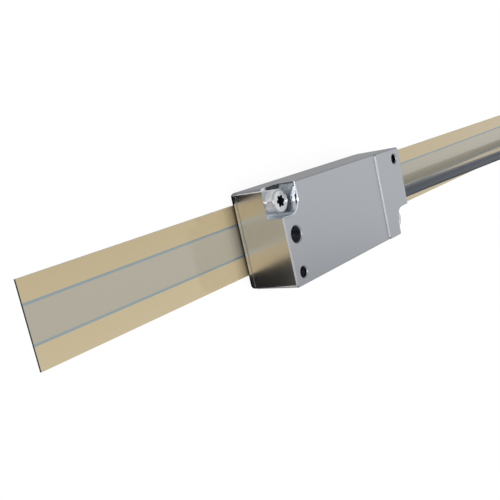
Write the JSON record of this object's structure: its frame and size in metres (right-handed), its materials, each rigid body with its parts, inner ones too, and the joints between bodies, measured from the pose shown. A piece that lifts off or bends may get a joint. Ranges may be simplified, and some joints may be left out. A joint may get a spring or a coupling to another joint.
{
  "type": "linear encoder",
  "caption": "Exposed linear encoder: a gold plated scale tape, a metal scanning head that runs over it, and a thin lead with a D-sub connector.",
  "frame": {"origin": "middle of the scale tape, on its back (the adhesive's lower face)", "axes": "+X along the tape towards the end of the head where the lead comes out, +Y across the tape, +Z out of the tape's face towards the head"},
  "size_m": [0.275, 0.0651, 0.0155],
  "materials": {
    "adhesive": "dull black film",
    "gold_tape": "gold plated steel, glossy",
    "graduation": "etched lines between gold, glossy",
    "border_line": "fine matt etched line",
    "head_metal": "satin front, polished ends",
    "plate_metal": "satin",
    "seal": "matt",
    "screw_steel": "bright steel",
    "reticle_glass": "polished, with gratings",
    "lens_glass": "polished",
    "black_plastic": "moulded",
    "lamp_body": "clear moulded dome",
    "chip": "moulded package",
    "board": "solder mask",
    "ceramic": "ceramic",
    "white_plastic": "moulded",
    "wire": "insulated wire",
    "ferrule": "crimped",
    "relief_rubber": "matt",
    "cable_jacket": "dark grey, slightly glossy",
    "tie_strap": "black",
    "shell_metal": "tin plated steel",
    "gold_pin": "gold flashed",
    "hood_plastic": "moulded, fine grain",
    "clamp_metal": "zinc plated",
    "jack_steel": "nickel plated"
  },
  "bodies": {
    "scale": {"adhesive_film": "adhesive", "scale_tape": "gold_tape", "graduation_track": "graduation", "track_borders": "border_line"},
    "scanning_head": {"housing": "head_metal", "housing_screws": "screw_steel", "base_plate": "plate_metal", "gasket": "seal", "scanning_reticle": "reticle_glass", "optics_holder": "black_plastic", "condenser_lens": "lens_glass", "light_source": "lamp_body", "photodetector": "chip", "circuit_board": "board", "board_screws": "screw_steel", "signal_processor": "chip", "board_capacitors": "ceramic", "board_connector": "white_plastic", "conductors": "wire", "cable_ferrule": "ferrule", "strain_relief": "relief_rubber", "cable_lead": "cable_jacket", "cable_coil": "cable_jacket", "coil_ties": "tie_strap", "cable_tail": "cable_jacket", "connector_shell": "shell_metal", "connector_insulator": "black_plastic", "connector_pins": "gold_pin", "connector_wires": "wire", "hood_lower": "hood_plastic", "hood_upper": "hood_plastic", "hood_screws": "screw_steel", "connector_boot": "relief_rubber", "cable_clamp": "clamp_metal"},
    "left_jackscrew": {"jackscrew_left": "jack_steel"},
    "right_jackscrew": {"jackscrew_right": "jack_steel"}
  },
  "joints": [
    {"name": "head_slide", "type": "slide", "parent": "scale", "child": "scanning_head", "axis": [1, 0, 0], "range_m": [-0.04, 0.14]},
    {"name": "left_jackscrew_turn", "type": "hinge", "parent": "scanning_head", "child": "left_jackscrew", "pos_m": [0.065, -0.05265, 0.00775], "axis": [-1, 0, 0], "continuous": true},
    {"name": "right_jackscrew_turn", "type": "hinge", "parent": "scanning_head", "child": "right_jackscrew", "pos_m": [0.065, -0.01935, 0.00775], "axis": [-1, 0, 0], "continuous": true}
  ]
}
